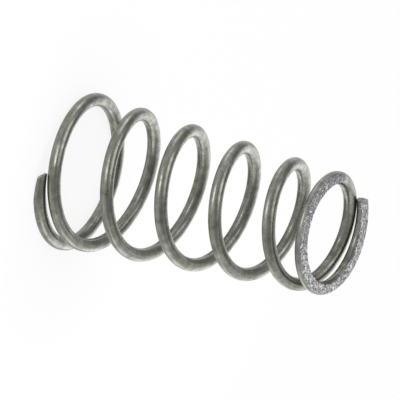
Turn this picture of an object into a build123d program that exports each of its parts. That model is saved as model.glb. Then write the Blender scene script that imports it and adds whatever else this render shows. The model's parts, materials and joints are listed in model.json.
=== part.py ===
from build123d import *
import math
import os

# A tapered compression spring, coiled right-handed from one length of round wire.
# Both ends are closed and ground flat. It stands on its large end, whose ground face
# lies on z = 0. The coil axis is +Z, and the small end is on top.
# Lengths are in mm and angles in degrees. A place on the wire is given in turns,
# from 0 at the large tip to total_turns at the small tip.

# ---- wire and body ----
wire_diameter = 1.6
large_end_diameter = 18.97      # outside, over the cone at the large tip
small_end_diameter = 14.76      # outside, over the cone at the small tip
free_length = 35.5              # between the two ground faces, on the axis
total_turns = 6.586
large_tip_bearing = -88.7       # the large tip is at the front, -Y
uneven_rise = 0.072             # the middle coils stand this far above an even pitch
uneven_middle_turn = 3.55       # where they stand highest
uneven_turns = 2.6              # the turns over which they rise and settle again

# ---- large end ----
large_closed_turns = 0.38       # coiled at the closing pitch before the lift starts
large_lift_turns = 0.89         # over which the pitch opens to the active pitch
large_tip_gap = 0.08            # between the tip and the coil beside it
large_tip_droop = 0.165         # how far the tip bends down towards its face
large_droop_turns = 0.2         # over which the wire bends down to it
large_tip_flare = 0.475         # how far the tip stands outside the cone
large_flare_turns = 1.13        # over which the wire opens out to it
large_grind_depth = 0.47        # ground off the wire at the tip
large_shear_outward = 20.0      # the sheared end leans back towards its outer side
large_shear_faceward = 20.0     # and towards its ground side

# ---- small end ----
small_closed_turns = 0.52
small_lift_turns = 1.0
small_tip_gap = 0.05
small_tip_flare = 0.66
small_flare_turns = 0.27
small_grind_depth = 0.7
small_shear_outward = 14.0
small_shear_faceward = 11.0
small_face_tilt = 3.4           # the small end is ground this far out of square
small_face_high_side = 44.0     # and its face stands highest on this bearing

# ---- how the wire is laid along its centre line ----
arc_pair_turns = 0.125          # a pair of tangent arcs spans at most this much of it
tip_span_turns = 0.25           # the wire beside each tip, which is swept by itself

wire_radius = wire_diameter / 2
large_coil_radius = large_end_diameter / 2 - wire_radius
small_coil_radius = small_end_diameter / 2 - wire_radius
large_face_offset = wire_radius - large_grind_depth     # from the centre of the tip
small_face_offset = wire_radius - small_grind_depth


def bearing(turn):
    """Direction of a place on the wire, seen from the axis."""
    return large_tip_bearing + 360 * turn


def small_face_rise(radius, direction):
    """How much higher the tilted small face is here than on the axis."""
    slope = math.tan(math.radians(small_face_tilt))
    return slope * radius * math.cos(math.radians(direction - small_face_high_side))


def droop_rise(turn):
    """Height that the wire gains as it comes out of the droop at the large tip."""
    bent = max(0.0, 1 - turn / large_droop_turns)
    return large_tip_droop * (1 - bent**2)


def open_turns(turns, lift_turns):
    """Full-pitch turns that these turns are worth, as the pitch eases in over the lift."""
    share = turns / lift_turns
    if share <= 0:
        return 0.0
    if share >= 1:
        return turns - lift_turns / 2
    return lift_turns * (share**3 - share**4 / 2)


def closed_from_large_tip(turn):
    """Turns laid at the large closing pitch between the large tip and this place."""
    return turn - open_turns(turn - large_closed_turns, large_lift_turns)


def closed_from_small_tip(turn):
    """Turns laid at the small closing pitch between the small tip and this place."""
    left = total_turns - turn
    return left - open_turns(left - small_closed_turns, small_lift_turns)


# ---- pitches ----
# The centre line climbs out of the droop and on at a closing pitch, the active pitch and
# a closing pitch. Each tip lies its gap away from the coil beside it, which gives the
# climb over the first turn and over the last one, and free_length gives the rest.
small_tip_lift = small_face_rise(small_coil_radius + small_tip_flare, bearing(total_turns))
whole_climb = free_length + small_tip_lift - large_face_offset - small_face_offset
cone_slope = (large_coil_radius - small_coil_radius) / whole_climb


def end_turn_climb(tip_gap, step_out):
    """Climb over an end turn whose tip stands step_out beyond the coil beside it."""
    return math.sqrt((wire_diameter + tip_gap) ** 2 - step_out**2)


first_climb = end_turn_climb(large_tip_gap, large_tip_flare + cone_slope * wire_diameter)
first_climb -= droop_rise(1)
last_climb = end_turn_climb(small_tip_gap, small_tip_flare - cone_slope * wire_diameter)
first_closed = closed_from_large_tip(1)
last_closed = closed_from_small_tip(total_turns - 1)
large_closed_share = closed_from_large_tip(total_turns) / first_closed
small_closed_share = closed_from_small_tip(0) / last_closed
middle_climb = whole_climb - droop_rise(total_turns)
middle_climb -= large_closed_share * first_climb + small_closed_share * last_climb
active_pitch = middle_climb / (total_turns - large_closed_share - small_closed_share)
large_closing_pitch = (first_climb - active_pitch * (1 - first_closed)) / first_closed
small_closing_pitch = (last_climb - active_pitch * (1 - last_closed)) / last_closed


# ---- centre line ----
def uneven_climb(turn):
    """How far the wire stands above an even pitch here."""
    share = (turn - uneven_middle_turn) / uneven_turns
    return uneven_rise * math.cos(math.pi * share) ** 2 if abs(share) < 0.5 else 0.0


def climb(turn):
    """Height of the wire's centre above its centre at the large tip."""
    at_large = closed_from_large_tip(turn)
    at_small = closed_from_small_tip(0) - closed_from_small_tip(turn)
    active = turn - at_large - at_small
    closing = large_closing_pitch * at_large + small_closing_pitch * at_small
    return droop_rise(turn) + closing + active_pitch * active + uneven_climb(turn)


def flare(turns_from_tip, tip_flare, flare_turns):
    """How far the wire has opened out of the cone, near a tip."""
    return tip_flare * max(0.0, 1 - turns_from_tip / flare_turns) ** 2


def centre(turn):
    """Centre of the wire at a place on it."""
    height = climb(turn)
    radius = large_coil_radius - cone_slope * height
    radius += flare(turn, large_tip_flare, large_flare_turns)
    radius += flare(total_turns - turn, small_tip_flare, small_flare_turns)
    angle = math.radians(bearing(turn))
    return Vector(
        radius * math.cos(angle),
        radius * math.sin(angle),
        large_face_offset + height,
    )


def heading(turn):
    """Direction in which the wire runs here, away from the large tip."""
    step = 1e-4
    return (centre(turn + step) - centre(turn - step)).normalized()


# ---- wire ----
def arc_pair(start, end):
    """Two arcs between two places, which meet smoothly and keep to the heading at both."""
    near, far = centre(start), centre(end)
    leaving, arriving = heading(start), heading(end)
    chord = far - near
    along = chord.dot(leaving + arriving)
    turned = 2 * (1 - leaving.dot(arriving))
    reach = (math.sqrt(along**2 + turned * chord.dot(chord)) - along) / turned
    middle = (near + far + (leaving - arriving) * reach) / 2
    first = TangentArc(near, middle, tangent=leaving)
    return [first, TangentArc(middle, far, tangent=first % 1)]


def wire_span(start, end):
    """The round wire between two places."""
    count = math.ceil((end - start) / arc_pair_turns)
    turns = [start + (end - start) * number / count for number in range(count + 1)]
    arcs = [arc for near, far in zip(turns, turns[1:]) for arc in arc_pair(near, far)]
    section = Plane(origin=centre(start), z_dir=heading(start)) * Circle(wire_radius)
    return sweep(section, path=Wire(arcs))


def shear(span, turn, outward, face_side, shear_outward, shear_faceward):
    """Shear a span off at its tip, on a plane that leans back two ways."""
    angle = math.radians(bearing(turn))
    radial = Vector(math.cos(angle), math.sin(angle), 0)
    lean = radial * math.tan(math.radians(shear_outward))
    lean += face_side * math.tan(math.radians(shear_faceward))
    cut = Plane(origin=centre(turn), z_dir=outward + lean)
    return split(span, bisect_by=cut, keep=Keep.BOTTOM)


def coiled_wire():
    """The whole wire with its two sheared tips, before grinding."""
    spare = wire_diameter / (2 * math.pi * small_coil_radius)    # sheared off each tip
    first, last = tip_span_turns, total_turns - tip_span_turns
    down, up = Vector(0, 0, -1), Vector(0, 0, 1)
    large_tip = shear(
        wire_span(-spare, first), 0, -heading(0), down, large_shear_outward, large_shear_faceward
    )
    small_tip = shear(
        wire_span(last, total_turns + spare),
        total_turns,
        heading(total_turns),
        up,
        small_shear_outward,
        small_shear_faceward,
    )
    return wire_span(first, last).fuse(large_tip, small_tip)


# ---- grinding ----
def ground(wire):
    """The wire with its large end ground on z = 0 and its small end on the tilted face."""
    tilt = math.radians(small_face_tilt)
    high_side = math.radians(small_face_high_side)
    small_face_normal = (
        -math.sin(tilt) * math.cos(high_side),
        -math.sin(tilt) * math.sin(high_side),
        math.cos(tilt),
    )
    small_face = Plane(origin=(0, 0, free_length), z_dir=small_face_normal)
    standing = split(wire, bisect_by=Plane.XY, keep=Keep.TOP)
    return split(standing, bisect_by=small_face, keep=Keep.BOTTOM)


wire = coiled_wire()
spring = ground(wire)

wire_length = wire.volume / (math.pi * wire_radius**2)
print(f"active pitch {active_pitch:.2f}, wire length {wire_length:.1f}")
print(f"closing pitches {large_closing_pitch:.2f} and {small_closing_pitch:.2f}")
print(f"volume {spring.volume:.1f}, valid {spring.is_valid}, solids {len(spring.solids())}")

os.makedirs("parts", exist_ok=True)
export_step(spring, "parts/tapered_spring.step")
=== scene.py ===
import bpy
import json
import math
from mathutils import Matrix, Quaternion, Vector, noise


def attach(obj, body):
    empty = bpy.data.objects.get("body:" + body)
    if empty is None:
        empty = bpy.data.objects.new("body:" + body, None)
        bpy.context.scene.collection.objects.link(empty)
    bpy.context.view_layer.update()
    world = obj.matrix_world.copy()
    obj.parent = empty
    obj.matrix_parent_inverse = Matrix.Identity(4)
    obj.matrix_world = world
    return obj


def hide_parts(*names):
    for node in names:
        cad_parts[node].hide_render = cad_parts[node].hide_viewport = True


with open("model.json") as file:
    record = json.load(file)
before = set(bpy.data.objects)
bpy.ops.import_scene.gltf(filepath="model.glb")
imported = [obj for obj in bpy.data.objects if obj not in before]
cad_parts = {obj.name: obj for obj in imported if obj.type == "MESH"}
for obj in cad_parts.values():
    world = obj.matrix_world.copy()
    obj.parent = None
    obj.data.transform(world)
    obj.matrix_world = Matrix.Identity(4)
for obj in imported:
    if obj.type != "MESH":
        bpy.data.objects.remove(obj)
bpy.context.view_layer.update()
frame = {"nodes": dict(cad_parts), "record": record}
mounts = {mount["name"]: mount for mount in frame["record"]["mounts"]}
mm = 0.001  # metres in a millimetre
print("frame loaded:", ", ".join(frame["nodes"]))


def directionTo(bearing, elevation=0.0):
    # seen from the axis, with the bearing from +X and both angles in degrees
    bearing, elevation = math.radians(bearing), math.radians(elevation)
    return Vector((
        math.cos(bearing) * math.cos(elevation),
        math.sin(bearing) * math.cos(elevation),
        math.sin(elevation),
    ))


# a long lens from far back; lengths are in mm and angles in degrees
cameraView = {
    "bearing": -98.97,
    "elevation": 27.46,
    "roll": 104.16,  # the coil axis points right and a little down
    "target": (0.99, 6.79, 13.58),
    "distance": 1713.9,
    "lens": 1294.75,
}


def placeCamera():
    back = directionTo(cameraView["bearing"], cameraView["elevation"])
    roll = Quaternion((0, 0, 1), math.radians(cameraView["roll"]))
    bpy.ops.object.camera_add()
    camera = bpy.context.object
    camera.name = "camera"
    camera.rotation_mode = "QUATERNION"
    camera.rotation_quaternion = (-back).to_track_quat("-Z", "Y") @ roll
    camera.location = (Vector(cameraView["target"]) + back * cameraView["distance"]) * mm
    camera.data.lens = cameraView["lens"]
    bpy.context.scene.camera = camera
    print("camera placed")


# picking
def deselectAll():
    if bpy.context.object and bpy.context.object.mode != "OBJECT":
        bpy.ops.object.mode_set(mode="OBJECT")
    bpy.ops.object.select_all(action="DESELECT")


def takeUp(piece):
    deselectAll()
    piece.select_set(True)
    bpy.context.view_layer.objects.active = piece


def pickEdges(piece, test):
    # selects the edges whose two ends pass the test, and stays in edit mode
    bpy.ops.object.mode_set(mode="EDIT")
    bpy.ops.mesh.select_mode(type="EDGE")
    bpy.ops.mesh.select_all(action="DESELECT")
    bpy.ops.object.mode_set(mode="OBJECT")
    vertices = piece.data.vertices
    for edge in piece.data.edges:
        edge.select = test(vertices[edge.vertices[0]].co, vertices[edge.vertices[1]].co)
    bpy.ops.object.mode_set(mode="EDIT")


# The coil, with lengths in mm and angles in degrees. A place on the wire is given in turns,
# from 0 at the large tip to totalTurns at the small tip.
springSizes = {
    "wireDiameter": 1.6,
    "largeEndDiameter": 18.97,  # outside, over the cone at the large tip
    "smallEndDiameter": 14.76,
    "totalTurns": 6.586,
    "largeTipBearing": -88.7,
    "unevenRise": 0.072,  # the middle coils stand this far above an even pitch
    "unevenMiddleTurn": 3.55,
    "unevenTurns": 2.6,
    "largeClosedTurns": 0.38,  # coiled at the closing pitch before the lift starts
    "largeLiftTurns": 0.89,  # over which the pitch opens to the active pitch
    "largeTipGap": 0.08,  # between the tip and the coil beside it
    "largeTipDroop": 0.165,  # how far the tip bends down towards its face
    "largeDroopTurns": 0.2,
    "largeTipFlare": 0.475,  # how far the tip stands outside the cone
    "largeFlareTurns": 1.13,
    "largeGrindDepth": 0.47,  # ground off the wire at the tip
    "largeShearOutward": 13.0,  # the sheared end leans back towards its outer side
    "largeShearFaceward": 13.0,  # and towards its ground side
    "smallClosedTurns": 0.52,
    "smallLiftTurns": 1.0,
    "smallTipGap": 0.02,  # the tip all but touches the coil beside it
    "smallTipFlare": 0.66,
    "smallFlareTurns": 0.27,
    "smallGrindDepth": 0.7,
    "smallShearOutward": 14.0,
    "smallShearFaceward": 11.0,
}

wireDiameter = springSizes["wireDiameter"]
wireRadius = wireDiameter / 2
totalTurns = springSizes["totalTurns"]
freeLength = mounts["small_end_face"]["pos_m"][2] / mm
smallFaceNormal = Vector(mounts["small_end_face"]["axis"]).normalized()
largeCoilRadius = springSizes["largeEndDiameter"] / 2 - wireRadius
smallCoilRadius = springSizes["smallEndDiameter"] / 2 - wireRadius
largeFaceOffset = wireRadius - springSizes["largeGrindDepth"]
smallFaceOffset = wireRadius - springSizes["smallGrindDepth"]


def bearingAt(turn):
    return springSizes["largeTipBearing"] + 360 * turn


def droopRise(turn):
    # height that the wire gains as it comes out of the droop at the large tip
    bent = max(0.0, 1 - turn / springSizes["largeDroopTurns"])
    return springSizes["largeTipDroop"] * (1 - bent**2)


def openTurns(turns, liftTurns):
    # full-pitch turns that these turns are worth, as the pitch eases in over the lift
    share = min(1.0, max(0.0, turns / liftTurns))
    if share == 1:
        return turns - liftTurns / 2
    return liftTurns * (share**3 - share**4 / 2)


def closedFromLargeTip(turn):
    # turns laid at the closing pitch between the tip and this place
    return turn - openTurns(turn - springSizes["largeClosedTurns"], springSizes["largeLiftTurns"])


def closedFromSmallTip(turn):
    left = totalTurns - turn
    return left - openTurns(left - springSizes["smallClosedTurns"], springSizes["smallLiftTurns"])


def endTurnClimb(tipGap, stepOut):
    # climb over an end turn whose tip stands stepOut beyond the coil beside it
    return math.sqrt((wireDiameter + tipGap) ** 2 - stepOut**2)


# The wire climbs out of the droop and on at a closing pitch, the active pitch and a closing
# pitch. The gap at each tip gives the climb over its end turn, and the free length the rest.
tipRadius = smallCoilRadius + springSizes["smallTipFlare"]
tipDirection = directionTo(bearingAt(totalTurns))
smallTipLift = -tipRadius * smallFaceNormal.dot(tipDirection) / smallFaceNormal.z
wholeClimb = freeLength + smallTipLift - largeFaceOffset - smallFaceOffset
coneSlope = (largeCoilRadius - smallCoilRadius) / wholeClimb
firstStep = springSizes["largeTipFlare"] + coneSlope * wireDiameter
lastStep = springSizes["smallTipFlare"] - coneSlope * wireDiameter
firstClimb = endTurnClimb(springSizes["largeTipGap"], firstStep) - droopRise(1)
lastClimb = endTurnClimb(springSizes["smallTipGap"], lastStep)
firstClosed = closedFromLargeTip(1)
lastClosed = closedFromSmallTip(totalTurns - 1)
largeShare = closedFromLargeTip(totalTurns) / firstClosed
smallShare = closedFromSmallTip(0) / lastClosed
middleClimb = wholeClimb - droopRise(totalTurns)
middleClimb = middleClimb - largeShare * firstClimb - smallShare * lastClimb
activePitch = middleClimb / (totalTurns - largeShare - smallShare)
largeClosingPitch = (firstClimb - activePitch * (1 - firstClosed)) / firstClosed
smallClosingPitch = (lastClimb - activePitch * (1 - lastClosed)) / lastClosed
print("active pitch", round(activePitch, 3), "mm")


def unevenClimb(turn):
    share = (turn - springSizes["unevenMiddleTurn"]) / springSizes["unevenTurns"]
    if abs(share) >= 0.5:
        return 0.0
    return springSizes["unevenRise"] * math.cos(math.pi * share) ** 2


def climb(turn):
    # height of the wire's centre above its centre at the large tip
    atLarge = closedFromLargeTip(turn)
    atSmall = closedFromSmallTip(0) - closedFromSmallTip(turn)
    closing = largeClosingPitch * atLarge + smallClosingPitch * atSmall
    active = activePitch * (turn - atLarge - atSmall)
    return droopRise(turn) + closing + active + unevenClimb(turn)


def flare(turnsFromTip, tipFlare, flareTurns):
    return tipFlare * max(0.0, 1 - turnsFromTip / flareTurns) ** 2


def centre(turn):
    # centre of the wire, in metres
    height = climb(turn)
    radius = largeCoilRadius - coneSlope * height
    radius += flare(turn, springSizes["largeTipFlare"], springSizes["largeFlareTurns"])
    radius += flare(totalTurns - turn, springSizes["smallTipFlare"], springSizes["smallFlareTurns"])
    across = directionTo(bearingAt(turn)) * radius
    return (across + Vector((0, 0, largeFaceOffset + height))) * mm


# the wire's mesh, drawn straight and then coiled
wireMesh = {
    "around": 40,  # sides of the round wire
    "guideSteps": 360,  # points of the guide in one turn
    "spareTurns": 0.04,  # drawn past each tip and sheared off
    "largeEndTurns": 0.98,  # these turns get close rings, for the ground faces
    "smallEndTurns": 0.92,
    "endRing": 0.14,  # mm between rings there
    "bodyRing": 0.34,  # mm between rings elsewhere
    "ringSlack": 0.1,  # share of that spacing by which a ring may miss its place
    "tipLength": 1.1,  # mm beside each tip without rings, so that its rim can be rounded
    "smoothAngle": 30,  # degrees, over which an edge stays sharp
}

tipFinish = {
    "rim": 0.11,  # mm, how wide the rim of a sheared end is rounded
    "rimSegments": 3,
    "onCut": 0.001,  # mm, how near the cut a vertex lies on it
    "steel": 1,  # which of the wire's materials a sheared end takes
}

grinding = {
    "tipFlatLength": 3.1,  # mm of the large tip that the wheel has taken deeper
    "tipFlatRise": 0.45,  # mm above the end face, at the very tip
    "cutNear": 0.0001,  # mm, within which the cut takes a vertex instead of a new point
    "onFace": 0.0005,  # mm, how near the plane a vertex lies on it
    "burr": 0.09,  # mm, how far the edge of the small face stands out at most
    "burrLength": 0.3,  # mm along the edge from one burr to the next
    "burrSide": 0.3,  # the least share by which the wire faces sideways where it has a burr
}


def layGuide():
    spare = wireMesh["spareTurns"]
    steps = round((totalTurns + 2 * spare) * wireMesh["guideSteps"])
    turns = [-spare + (totalTurns + 2 * spare) * step / steps for step in range(steps + 1)]
    curve = bpy.data.curves.new("wireGuide", "CURVE")
    curve.dimensions = "3D"
    curve.twist_mode = "Z_UP"
    spline = curve.splines.new("POLY")
    spline.points.add(steps)
    for point, turn in zip(spline.points, turns):
        point.co = (*centre(turn), 1)
    guide = bpy.data.objects.new("wireGuide", curve)
    bpy.context.collection.objects.link(guide)
    return guide


def lengthTo(turn):
    # metres of guide between its start and a place on the wire
    start = -wireMesh["spareTurns"]
    steps = max(1, math.ceil((turn - start) * wireMesh["guideSteps"]))
    places = [centre(start + (turn - start) * step / steps) for step in range(steps + 1)]
    return sum((far - near).length for near, far in zip(places, places[1:]))


def turnsOf(length):
    # turns that a length of wire in mm takes up beside the large tip
    return length / (2 * math.pi * (largeCoilRadius + springSizes["largeTipFlare"]))


def divideStretch(wire, start, end, spacing):
    # puts rings on a stretch of the wire, by two rounds of the subdivide tool
    count = math.ceil((end - start) / spacing)
    coarse = math.ceil(math.sqrt(count))
    slack = spacing * wireMesh["ringSlack"]

    def lengthwise(one, other):
        low, high = sorted((one.x, other.x))
        return high - low > slack and low > start - slack and high < end + slack

    for cuts in (coarse - 1, math.ceil(count / coarse) - 1):
        pickEdges(wire, lengthwise)
        if cuts > 0:
            bpy.ops.mesh.subdivide(number_cuts=cuts)
        bpy.ops.object.mode_set(mode="OBJECT")


def straightWire(stretches):
    # a straight tube along X; its inside of the coil is +Y and its top is +Z
    deselectAll()
    bpy.ops.mesh.primitive_circle_add(
        vertices=wireMesh["around"],
        radius=wireRadius * mm,
        fill_type="NOTHING",
        rotation=(0, math.pi / 2, 0),
    )
    wire = bpy.context.object
    wire.name = wire.data.name = "coiledWire"
    bpy.ops.object.transform_apply(location=True, rotation=True, scale=True)
    bpy.ops.object.mode_set(mode="EDIT")
    bpy.ops.mesh.select_all(action="SELECT")
    for start, end, spacing in stretches:
        bpy.ops.mesh.extrude_region_move(
            TRANSFORM_OT_translate={"value": (end - start, 0, 0)}
        )
    bpy.ops.mesh.select_all(action="SELECT")
    bpy.ops.mesh.normals_make_consistent(inside=False)
    bpy.ops.object.mode_set(mode="OBJECT")
    for start, end, spacing in stretches:
        divideStretch(wire, start, end, spacing)
    return wire


def mapWire(wire):
    # u runs along the wire and v round it, both in metres; the mark is for what is ground flat
    wire.data.attributes.new("wheelMark", "FLOAT", "POINT")
    layer = wire.data.uv_layers.new(name="alongWire")
    vertices = wire.data.vertices
    for polygon in wire.data.polygons:
        middle = math.atan2(polygon.center.z, polygon.center.y)
        for loop in polygon.loop_indices:
            place = vertices[wire.data.loops[loop].vertex_index].co
            angle = math.atan2(place.z, place.y)
            turned = (angle - middle + math.pi) % (2 * math.pi) - math.pi
            layer.data[loop].uv = (place.x, (middle + turned) * wireRadius * mm)


def shearTip(wire, point, normal):
    # cuts the straight wire off beyond the plane, closes it and takes the sharpness off its rim
    point, normal = Vector(point), Vector(normal).normalized()
    near = tipFinish["onCut"] * mm
    takeUp(wire)
    bpy.ops.object.mode_set(mode="EDIT")
    bpy.ops.mesh.select_mode(type="FACE")
    bpy.ops.mesh.select_all(action="SELECT")
    bpy.ops.mesh.bisect(
        plane_co=point, plane_no=normal, use_fill=True, clear_outer=True, threshold=near
    )
    bpy.ops.object.mode_set(mode="OBJECT")

    def onCut(place):
        return abs((place - point).dot(normal)) < near

    for polygon in wire.data.polygons:
        if onCut(polygon.center) and len(polygon.vertices) > 4:  # the fill, not a side of the wire
            polygon.material_index = tipFinish["steel"]
    pickEdges(wire, lambda one, other: onCut(one) and onCut(other))
    bpy.ops.mesh.bevel(
        offset=tipFinish["rim"] * mm,
        segments=tipFinish["rimSegments"],
        affect="EDGES",
        material=tipFinish["steel"],
    )
    bpy.ops.object.mode_set(mode="OBJECT")


def lean(shearAngle):
    # how far a shear leans back for each unit across the wire
    return math.tan(math.radians(springSizes[shearAngle]))


def grindFlat(wire, point, normal, burr=0.0):
    # cuts a line round the wire where the wheel reaches it, and presses what lies beyond flat
    point, normal = Vector(point), Vector(normal).normalized()
    takeUp(wire)
    bpy.ops.object.mode_set(mode="EDIT")
    bpy.ops.mesh.select_mode(type="FACE")
    bpy.ops.mesh.select_all(action="SELECT")
    bpy.ops.mesh.bisect(plane_co=point, plane_no=normal, threshold=grinding["cutNear"] * mm)
    bpy.ops.object.mode_set(mode="OBJECT")
    vertices = wire.data.vertices
    beyond = {vertex.index: (vertex.co - point).dot(normal) for vertex in vertices}
    flat, rounded = set(), set()
    for polygon in wire.data.polygons:
        lowest = min(beyond[index] for index in polygon.vertices)
        (flat if lowest > -grinding["onFace"] * mm else rounded).update(polygon.vertices)
    for vertex in vertices:
        if beyond[vertex.index] > 0:
            vertex.co -= normal * beyond[vertex.index]
    marks = wire.data.attributes["wheelMark"].data
    for index in flat:
        marks[index].value = 1.0
    print("ground flat:", len(flat), "vertices")

    # the flat's edge, pushed out by up to the burr
    facings = {index: vertices[index].normal.copy() for index in flat & rounded}
    for index, facing in facings.items():
        outward = facing - normal * facing.dot(normal)
        if outward.length > grinding["burrSide"]:
            place = vertices[index].co / (grinding["burrLength"] * mm)
            share = 0.5 + 0.5 * noise.noise(place)
            vertices[index].co += outward.normalized() * burr * mm * share


def grindTipFlat(wire, tip):
    # the short flat at the large tip, still on the straight wire; it runs out into the end face
    length = grinding["tipFlatLength"]
    faceBelow = centre(turnsOf(length)).z
    tipBelow = centre(0).z - grinding["tipFlatRise"] * mm
    grindFlat(wire, (tip + length * mm, 0, -faceBelow), (tipBelow - faceBelow, 0, -length * mm))


def bendAlong(wire, guide):
    takeUp(wire)
    bend = wire.modifiers.new("coil", "CURVE")
    bend.object = guide
    bend.deform_axis = "POS_X"
    bpy.ops.object.modifier_apply(modifier=bend.name)
    bpy.data.objects.remove(guide)


def makeSpring():
    # places along the guide, in metres
    largeTip = lengthTo(0)
    largeEnd = lengthTo(wireMesh["largeEndTurns"])
    smallEnd = lengthTo(totalTurns - wireMesh["smallEndTurns"])
    smallTip = lengthTo(totalTurns)
    whole = lengthTo(totalTurns + wireMesh["spareTurns"])
    endRing, bodyRing = wireMesh["endRing"] * mm, wireMesh["bodyRing"] * mm
    tipLength = wireMesh["tipLength"] * mm
    # start, end and ring spacing of each stretch; the two at the tips get no rings
    wire = straightWire((
        (0, largeTip + tipLength, whole),
        (largeTip + tipLength, largeEnd, endRing),
        (largeEnd, smallEnd, bodyRing),
        (smallEnd, smallTip - tipLength, endRing),
        (smallTip - tipLength, whole, whole),
    ))
    mapWire(wire)
    for steel in (springSteel(), shearedSteel()):
        wire.data.materials.append(steel)
    print("straight wire:", len(wire.data.polygons), "faces")

    outward, faceward = lean("largeShearOutward"), lean("largeShearFaceward")
    shearTip(wire, (largeTip, 0, 0), (-1, -outward, -faceward))
    outward, faceward = lean("smallShearOutward"), lean("smallShearFaceward")
    shearTip(wire, (smallTip, 0, 0), (1, -outward, faceward))
    print("tips sheared")

    grindTipFlat(wire, largeTip)
    bendAlong(wire, layGuide())
    grindFlat(wire, (0, 0, 0), (0, 0, -1))
    grindFlat(wire, (0, 0, freeLength * mm), smallFaceNormal, grinding["burr"])
    bpy.ops.object.shade_smooth_by_angle(angle=math.radians(wireMesh["smoothAngle"]))
    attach(wire, "root")
    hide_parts("tapered_spring")
    print("spring coiled and ground:", len(wire.data.polygons), "faces")


# small tools for the materials; a tree is a material's or the world's node tree
def newMaterial(name):
    material = bpy.data.materials.new(name)
    material.use_nodes = True
    return material, material.node_tree


def noiseOn(tree, coordinates, pattern):
    # grains are counted a metre along each coordinate, and curl makes them wormy
    mapping = tree.nodes.new("ShaderNodeMapping")
    mapping.inputs["Scale"].default_value = pattern["grains"]
    texture = tree.nodes.new("ShaderNodeTexNoise")
    texture.inputs["Scale"].default_value = 1.0
    texture.inputs["Detail"].default_value = pattern["detail"]
    texture.inputs["Distortion"].default_value = pattern.get("curl", 0.0)
    tree.links.new(coordinates, mapping.inputs["Vector"])
    tree.links.new(mapping.outputs["Vector"], texture.inputs["Vector"])
    return texture.outputs["Fac"]


def ramp(tree, value, stops):
    # a colour for each place from 0 to 1, or a grey where a stop holds one number
    node = tree.nodes.new("ShaderNodeValToRGB")
    elements = node.color_ramp.elements
    while len(elements) < len(stops):
        elements.new(0.5)
    for element, (place, colour) in zip(elements, stops):
        element.position = place
        element.color = (*colour, 1) if isinstance(colour, tuple) else (colour, colour, colour, 1)
    tree.links.new(value, node.inputs["Fac"])
    return node.outputs["Color"]


def combine(tree, operation, one, other):
    # the sum, difference, product or larger of two values, either of which may be a number
    node = tree.nodes.new("ShaderNodeMath")
    node.operation = operation
    for socket, value in zip(node.inputs, (one, other)):
        if isinstance(value, (int, float)):
            socket.default_value = value
        else:
            tree.links.new(value, socket)
    return node.outputs["Value"]


def measure(tree, operation, vector, fixed):
    # dot product of a vector with a fixed one, or its distance from it
    node = tree.nodes.new("ShaderNodeVectorMath")
    node.operation = operation
    node.inputs[1].default_value = fixed
    tree.links.new(vector, node.inputs[0])
    return node.outputs["Value"]


def blend(tree, share, one, other):
    # from one colour or value to the other as the share goes from 0 to 1
    node = tree.nodes.new("ShaderNodeMix")
    node.data_type = "RGBA"
    first, second = node.inputs[6], node.inputs[7]  # the Mix node's two colours
    tree.links.new(share, node.inputs["Factor"])
    tree.links.new(one, first)
    if isinstance(other, tuple):
        second.default_value = (*other, 1)
    else:
        tree.links.new(other, second)
    return node.outputs[2]  # and the colour that it gives


def smoothStep(tree, value, low, high, first=0, last=1):
    node = tree.nodes.new("ShaderNodeMapRange")
    node.interpolation_type = "SMOOTHSTEP"
    node.inputs["From Min"].default_value = low
    node.inputs["From Max"].default_value = high
    node.inputs["To Min"].default_value = first
    node.inputs["To Max"].default_value = last
    tree.links.new(value, node.inputs["Value"])
    return node.outputs["Result"]


def bumpFrom(tree, height):
    # the height is in metres
    node = tree.nodes.new("ShaderNodeBump")
    node.inputs["Strength"].default_value = 1.0
    node.inputs["Distance"].default_value = 1.0
    tree.links.new(height, node.inputs["Height"])
    return node.outputs["Normal"]


# tones and roughness are stops: a value of the pattern, and the colour or number that it gets
drawnFinish = {
    "blotch": {"grains": (1100, 1100, 1100), "detail": 3, "weight": 0.5},
    "drawLine": {"grains": (180, 4200, 1), "detail": 1, "weight": 0.35},  # along, round the wire
    "speckle": {"grains": (4500, 4500, 4500), "detail": 2, "weight": 0.15},
    "tones": (
        (0.38, (0.152, 0.151, 0.129)),
        (0.5, (0.219, 0.219, 0.193)),
        (0.62, (0.285, 0.285, 0.263)),
    ),
    "roughness": ((0.3, 0.35), (0.7, 0.24)),  # of the blotches alone
    "lineDepth": 0.004,  # mm
    # small dark nicks: where they are and how far they reach, in mm
    "nicks": (
        {"spot": (0.22, -8.77, 9.41), "reach": 0.19},
        {"spot": (0.6, -8.83, 9.33), "reach": 0.22},
    ),
    "nickColour": (0.075, 0.075, 0.068),
    "nickDepth": 0.02,  # mm
}

groundFinish = {
    "grain": {"grains": (3000, 3000, 3000), "detail": 2, "curl": 1.3},
    "tones": (
        (0.32, (0.092, 0.0955, 0.0965)),
        (0.5, (0.221, 0.227, 0.228)),
        (0.66, (0.625, 0.639, 0.643)),
    ),
    "roughness": ((0.35, 0.5), (0.65, 0.3)),
    "grainDepth": 0.04,  # mm
    "thinTone": 0.055,  # how much darker the grain is where the wheel only skims the wire
    "largeThinTurns": (0.5, 0.66),  # turns over which the wheel lets go of the large face
    "smallThinTurns": (5.9, 6.08),  # and takes full hold of the small face
    "spill": 0.22,  # mm below the flat face where the last grains are
    "spillRough": 0.75,  # how ragged the edge of the grains is
    "spillEdge": (0.45, 0.6),  # how high in the spill the drawn wire ends and the grain is full
    "markEdge": (0.3, 0.9),  # and the same for the mark of what is ground flat
}

shearedFinish = {
    "grain": {"grains": (4500, 4500, 4500), "detail": 3},
    "tones": ((0.35, (0.12, 0.12, 0.118)), (0.65, (0.36, 0.36, 0.352))),
    "grainDepth": 0.03,  # mm
    "roughness": 0.45,  # all over
}


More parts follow.
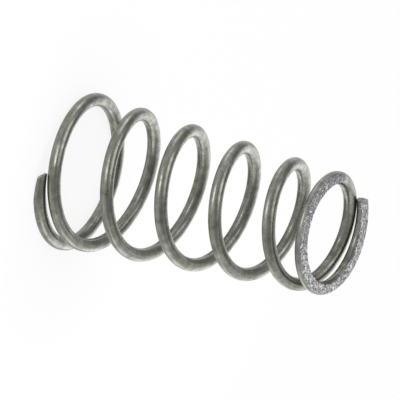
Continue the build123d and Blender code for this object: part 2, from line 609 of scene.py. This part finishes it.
def nicksOn(tree, place):
    # 1 in the middle of each nick and 0 past its reach
    nicked = 0.0
    for nick in drawnFinish["nicks"]:
        away = measure(tree, "DISTANCE", place, Vector(nick["spot"]) * mm)
        near = smoothStep(tree, away, 0, nick["reach"] * mm, 1, 0)
        nicked = combine(tree, "MAXIMUM", nicked, near)
    return nicked


def drawnSurface(tree, place, along):
    # colour, roughness and height of the drawn wire
    patterns = {
        "blotch": noiseOn(tree, place, drawnFinish["blotch"]),
        "drawLine": noiseOn(tree, along, drawnFinish["drawLine"]),
        "speckle": noiseOn(tree, place, drawnFinish["speckle"]),
    }
    tone = 0.0
    for name, pattern in patterns.items():
        weighed = combine(tree, "MULTIPLY", pattern, drawnFinish[name]["weight"])
        tone = combine(tree, "ADD", tone, weighed)
    nicked = nicksOn(tree, place)
    colour = ramp(tree, tone, drawnFinish["tones"])
    colour = blend(tree, nicked, colour, drawnFinish["nickColour"])
    roughness = ramp(tree, patterns["blotch"], drawnFinish["roughness"])
    lines = combine(tree, "MULTIPLY", patterns["drawLine"], drawnFinish["lineDepth"] * mm)
    nicks = combine(tree, "MULTIPLY", nicked, -drawnFinish["nickDepth"] * mm)
    return colour, roughness, combine(tree, "ADD", lines, nicks)


def groundGrain(tree, place, along):
    # the wheel's grain, darker on the stretch of each ground face that it only skims
    grain = noiseOn(tree, place, groundFinish["grain"])
    length = measure(tree, "DOT_PRODUCT", along, (1, 0, 0))
    thin = groundFinish["thinTone"]
    low, high = (lengthTo(turn) for turn in groundFinish["largeThinTurns"])
    atLarge = smoothStep(tree, length, low, high, 0, -thin)
    low, high = (lengthTo(turn) for turn in groundFinish["smallThinTurns"])
    atSmall = smoothStep(tree, length, low, high, -thin, 0)
    return combine(tree, "ADD", grain, combine(tree, "MAXIMUM", atLarge, atSmall))


def outsideFaces(tree, place):
    # metres outside the plane of the nearer ground face: 0 on a face and negative within the coil
    small = measure(tree, "DOT_PRODUCT", place, smallFaceNormal)
    small = combine(tree, "SUBTRACT", small, freeLength * mm * smallFaceNormal.z)
    large = measure(tree, "DOT_PRODUCT", place, (0, 0, -1))
    return combine(tree, "MAXIMUM", small, large)


def wheelReach(tree, place, grain):
    # 1 where the wheel has been: on what is ground flat, and raggedly a little over its edges
    height = smoothStep(tree, outsideFaces(tree, place), -groundFinish["spill"] * mm, 0)
    ragged = combine(tree, "SUBTRACT", grain, 0.5)
    ragged = combine(tree, "MULTIPLY", ragged, 2 * groundFinish["spillRough"])
    spilt = smoothStep(tree, combine(tree, "ADD", height, ragged), *groundFinish["spillEdge"])
    mark = tree.nodes.new("ShaderNodeAttribute")
    mark.attribute_name = "wheelMark"
    marked = smoothStep(tree, mark.outputs["Fac"], *groundFinish["markEdge"])
    return combine(tree, "MAXIMUM", spilt, marked)


def springSteel():
    material, tree = newMaterial("springSteel")
    shader = tree.nodes["Principled BSDF"]
    shader.inputs["Metallic"].default_value = 1.0
    place = tree.nodes.new("ShaderNodeTexCoord").outputs["Object"]
    wireMap = tree.nodes.new("ShaderNodeUVMap")
    wireMap.uv_map = "alongWire"
    along = wireMap.outputs["UV"]

    colour, roughness, height = drawnSurface(tree, place, along)
    grain = groundGrain(tree, place, along)
    wheel = wheelReach(tree, place, grain)
    grainHeight = combine(tree, "MULTIPLY", grain, groundFinish["grainDepth"] * mm)
    colour = blend(tree, wheel, colour, ramp(tree, grain, groundFinish["tones"]))
    roughness = blend(tree, wheel, roughness, ramp(tree, grain, groundFinish["roughness"]))
    height = blend(tree, wheel, height, grainHeight)
    tree.links.new(colour, shader.inputs["Base Color"])
    tree.links.new(roughness, shader.inputs["Roughness"])
    tree.links.new(bumpFrom(tree, height), shader.inputs["Normal"])
    print("spring steel mixed")
    return material


def shearedSteel():
    # the torn steel of the sheared ends
    material, tree = newMaterial("shearedSteel")
    shader = tree.nodes["Principled BSDF"]
    shader.inputs["Metallic"].default_value = 1.0
    shader.inputs["Roughness"].default_value = shearedFinish["roughness"]
    place = tree.nodes.new("ShaderNodeTexCoord").outputs["Object"]
    grain = noiseOn(tree, place, shearedFinish["grain"])
    height = combine(tree, "MULTIPLY", grain, shearedFinish["grainDepth"] * mm)
    tree.links.new(ramp(tree, grain, shearedFinish["tones"]), shader.inputs["Base Color"])
    tree.links.new(bumpFrom(tree, height), shader.inputs["Normal"])
    print("sheared steel mixed")
    return material


studio = {
    "floorSize": 8.0,  # metres
    "floorShade": 0.16,  # how much of the floor's brightness takes the object's shadow
    # height of the direction and how bright the dome is there
    "dome": ((0.0, 1.3), (0.15, 0.81), (0.34, 1.0), (0.5, 0.68), (1.0, 0.7)),
    # round cards in the dome, dark where the gain is under 1: radius and soft edge in degrees
    "cards": (
        {"bearing": -100, "elevation": 20, "radius": 58.8, "edge": 6, "gain": 0.71},
        {"bearing": 132, "elevation": 16.8, "radius": 23.9, "edge": 6, "gain": 0.52},
        {"bearing": 27.8, "elevation": 0.8, "radius": 59.7, "edge": 15, "gain": 1.5},
        {"bearing": -166, "elevation": 59.5, "radius": 22.4, "edge": 4, "gain": 3.4},
        {"bearing": 74, "elevation": 15, "radius": 25, "edge": 12, "gain": 1.55},
    ),
    # upright soft panels on the floor beside the object: mm, and how bright they are
    "panels": {
        "frontPanel": {"bearing": -111, "distance": 38, "width": 16, "height": 14, "level": 3.4},
        "sidePanel": {"bearing": 174, "distance": 42, "width": 24, "height": 14, "level": 1.3},
        "widePanel": {"bearing": 18, "distance": 45, "width": 60, "height": 22, "level": 0.9},
    },
}


def placeFloor():
    deselectAll()
    bpy.ops.mesh.primitive_plane_add(size=studio["floorSize"])
    floor = bpy.context.object
    floor.name = "floor"
    material, tree = newMaterial("whiteFloor")
    nodes, links = tree.nodes, tree.links
    nodes.remove(nodes["Principled BSDF"])
    paper = nodes.new("ShaderNodeBsdfDiffuse")
    paper.inputs["Color"].default_value = (1, 1, 1, 1)
    white = nodes.new("ShaderNodeEmission")
    # the camera, metal and glass see white, and what is left of the paper takes the shadow
    path = nodes.new("ShaderNodeLightPath").outputs
    seen = combine(tree, "MAXIMUM", path["Is Camera Ray"], path["Is Glossy Ray"])
    seen = combine(tree, "MAXIMUM", seen, path["Is Transmission Ray"])
    share = combine(tree, "MULTIPLY", seen, 1 - studio["floorShade"])
    mix = nodes.new("ShaderNodeMixShader")
    links.new(share, mix.inputs["Fac"])
    links.new(paper.outputs["BSDF"], mix.inputs[1])
    links.new(white.outputs["Emission"], mix.inputs[2])
    links.new(mix.outputs["Shader"], nodes["Material Output"].inputs["Surface"])
    floor.data.materials.append(material)
    print("floor placed")


def standPanel(name, panel):
    towards = directionTo(panel["bearing"])
    place = towards * panel["distance"] * mm
    place.z = panel["height"] * mm / 2
    bpy.ops.object.light_add(type="AREA", location=place)
    lamp = bpy.context.object
    lamp.name = name
    lamp.rotation_euler = towards.to_track_quat("Z", "Y").to_euler()
    lamp.data.shape = "RECTANGLE"
    lamp.data.size, lamp.data.size_y = panel["width"] * mm, panel["height"] * mm
    # a level looks as bright whatever the panel's size
    lamp.data.energy = panel["level"] * math.pi * lamp.data.size * lamp.data.size_y
    lamp.visible_camera = False


def lightStudio():
    world = bpy.data.worlds.new("studio")
    bpy.context.scene.world = world
    world.use_nodes = True
    tree = world.node_tree
    direction = tree.nodes.new("ShaderNodeTexCoord").outputs["Generated"]
    height = measure(tree, "DOT_PRODUCT", direction, (0, 0, 1))
    brightness = ramp(tree, height, studio["dome"])
    for card in studio["cards"]:
        towards = directionTo(card["bearing"], card["elevation"])
        nearness = measure(tree, "DOT_PRODUCT", direction, towards)
        outer = math.cos(math.radians(card["radius"] + card["edge"]))
        inner = math.cos(math.radians(max(0, card["radius"] - card["edge"])))
        gain = smoothStep(tree, nearness, outer, inner, 1, card["gain"])
        brightness = combine(tree, "MULTIPLY", brightness, gain)
    background = tree.nodes["Background"]
    background.inputs["Color"].default_value = (1, 1, 1, 1)
    tree.links.new(brightness, background.inputs["Strength"])
    for name, panel in studio["panels"].items():
        standPanel(name, panel)
    print("studio lit")


bpy.context.scene.view_settings.view_transform = "Standard"
placeCamera()
makeSpring()
placeFloor()
lightStudio()
